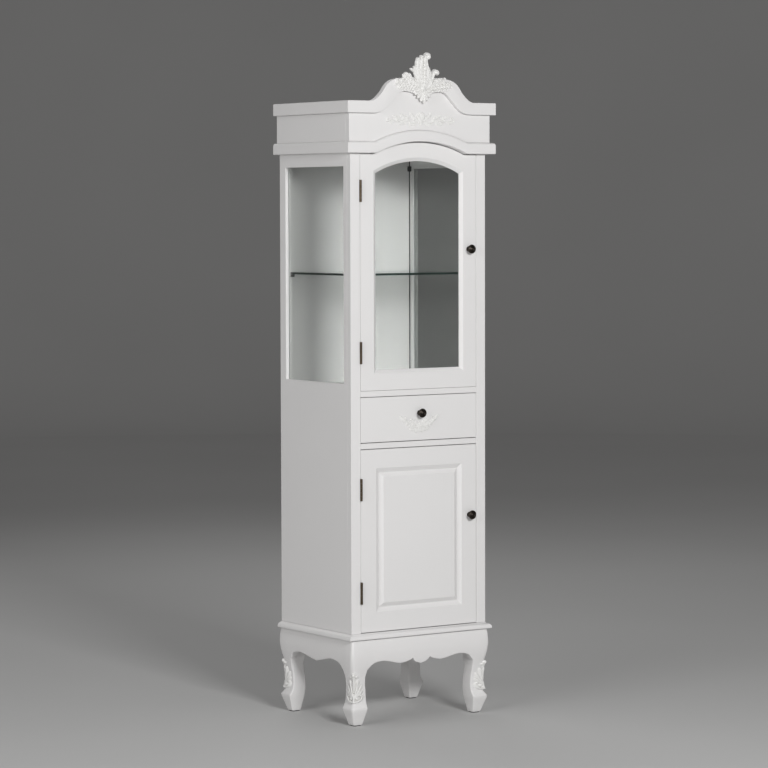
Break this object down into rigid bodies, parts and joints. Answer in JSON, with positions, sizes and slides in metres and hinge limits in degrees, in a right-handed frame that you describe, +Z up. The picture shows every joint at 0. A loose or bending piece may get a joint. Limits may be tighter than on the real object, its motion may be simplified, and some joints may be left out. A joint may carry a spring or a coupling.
{
  "type": "curio cabinet",
  "caption": "Tall narrow display cabinet with an arched glass door, glazed sides, a drawer, a panelled door, cabriole legs and a carved crest.",
  "frame": {"origin": "on the floor, under the middle of the cabinet's overall box", "axes": "+Z up, +X to the cabinet's right as seen from in front, the front faces -Y"},
  "size_m": [0.5, 0.4032, 1.864],
  "materials": {
    "white_paint": "satin white paint on wood and board",
    "carved_paint": "satin white paint on carved ornament",
    "drawer_board": "matt white lacquered board",
    "clear_glass": "clear float glass with a green edge",
    "aged_bronze": "dark antique bronze",
    "antique_brass": "aged brass",
    "black_plastic": "matt black"
  },
  "bodies": {
    "cabinet": {"leg_front_left": "white_paint", "leg_front_right": "white_paint", "leg_rear_left": "white_paint", "leg_rear_right": "white_paint", "apron_front": "white_paint", "apron_rear": "white_paint", "apron_left": "white_paint", "apron_right": "white_paint", "base_moulding": "white_paint", "bottom_panel": "white_paint", "side_panel_left": "white_paint", "side_panel_right": "white_paint", "side_bead_left": "white_paint", "side_bead_right": "white_paint", "back_panel": "white_paint", "face_stile_left": "white_paint", "face_stile_right": "white_paint", "drawer_top_deck": "white_paint", "drawer_bottom_deck": "white_paint", "top_panel": "white_paint", "neck_moulding": "white_paint", "frieze_front": "white_paint", "frieze_left": "white_paint", "frieze_right": "white_paint", "cornice_front": "white_paint", "cornice_left": "white_paint", "cornice_right": "white_paint", "crown_cover": "white_paint", "crest_carving": "carved_paint", "frieze_garland": "carved_paint", "side_glass_left": "clear_glass", "side_glass_right": "clear_glass", "glass_shelf": "clear_glass", "shelf_support_front_left": "black_plastic", "shelf_support_front_right": "black_plastic", "shelf_support_rear_left": "black_plastic", "shelf_support_rear_right": "black_plastic", "upper_catch": "black_plastic", "lower_catch": "black_plastic", "upper_hinge_bottom_frame_leaf": "antique_brass", "upper_hinge_top_frame_leaf": "antique_brass", "lower_hinge_bottom_frame_leaf": "antique_brass", "lower_hinge_top_frame_leaf": "antique_brass"},
    "drawer": {"drawer_front": "white_paint", "drawer_side_left": "drawer_board", "drawer_side_right": "drawer_board", "drawer_back": "drawer_board", "drawer_bottom": "drawer_board", "drawer_knob": "aged_bronze", "drawer_garland": "carved_paint"},
    "upper_door": {"upper_door_frame": "white_paint", "upper_door_glass": "clear_glass", "upper_door_knob": "aged_bronze", "upper_hinge_bottom_door_leaf": "antique_brass", "upper_hinge_top_door_leaf": "antique_brass"},
    "lower_door": {"lower_door_frame": "white_paint", "lower_door_panel": "white_paint", "lower_door_knob": "aged_bronze", "lower_hinge_bottom_door_leaf": "antique_brass", "lower_hinge_top_door_leaf": "antique_brass"}
  },
  "joints": [
    {"name": "upper_door_hinge", "type": "hinge", "parent": "cabinet", "child": "upper_door", "pos_m": [-0.1968, -0.16955, 1.2577], "axis": [0, 0, -1], "range_deg": [0, 110]},
    {"name": "lower_door_hinge", "type": "hinge", "parent": "cabinet", "child": "lower_door", "pos_m": [-0.1968, -0.16955, 0.5135], "axis": [0, 0, -1], "range_deg": [0, 110]},
    {"name": "drawer_slide", "type": "slide", "parent": "cabinet", "child": "drawer", "axis": [0, -1, 0], "range_m": [0, 0.22]}
  ]
}
